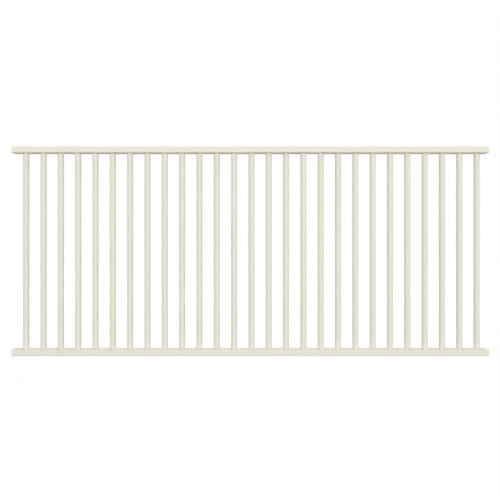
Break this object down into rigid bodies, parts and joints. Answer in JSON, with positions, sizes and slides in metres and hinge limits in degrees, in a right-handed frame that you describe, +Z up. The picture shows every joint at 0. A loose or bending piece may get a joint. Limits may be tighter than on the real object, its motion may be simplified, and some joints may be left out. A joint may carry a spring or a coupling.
{
  "type": "aluminium fence panel",
  "caption": "Flat-top fence panel of round pickets let into two flat-laid hollow rails with open ends, for fixing between posts by its rail ends.",
  "frame": {"origin": "centre of the bottom rail's left end face", "axes": "+X along the rails towards the right end, +Y from the pictured face to the back, +Z up the pickets"},
  "size_m": [2.05, 0.059, 0.9],
  "materials": {
    "cream_powder_coat": "satin powder coat over extruded aluminium"
  },
  "bodies": {
    "root": {"bottom_rail": "cream_powder_coat", "top_rail": "cream_powder_coat", "picket_01": "cream_powder_coat", "picket_02": "cream_powder_coat", "picket_03": "cream_powder_coat", "picket_04": "cream_powder_coat", "picket_05": "cream_powder_coat", "picket_06": "cream_powder_coat", "picket_07": "cream_powder_coat", "picket_08": "cream_powder_coat", "picket_09": "cream_powder_coat", "picket_10": "cream_powder_coat", "picket_11": "cream_powder_coat", "picket_12": "cream_powder_coat", "picket_13": "cream_powder_coat", "picket_14": "cream_powder_coat", "picket_15": "cream_powder_coat", "picket_16": "cream_powder_coat", "picket_17": "cream_powder_coat", "picket_18": "cream_powder_coat", "picket_19": "cream_powder_coat", "picket_20": "cream_powder_coat", "picket_21": "cream_powder_coat", "picket_22": "cream_powder_coat", "picket_23": "cream_powder_coat", "picket_24": "cream_powder_coat", "picket_25": "cream_powder_coat", "picket_26": "cream_powder_coat", "picket_27": "cream_powder_coat"}
  },
  "joints": []
}
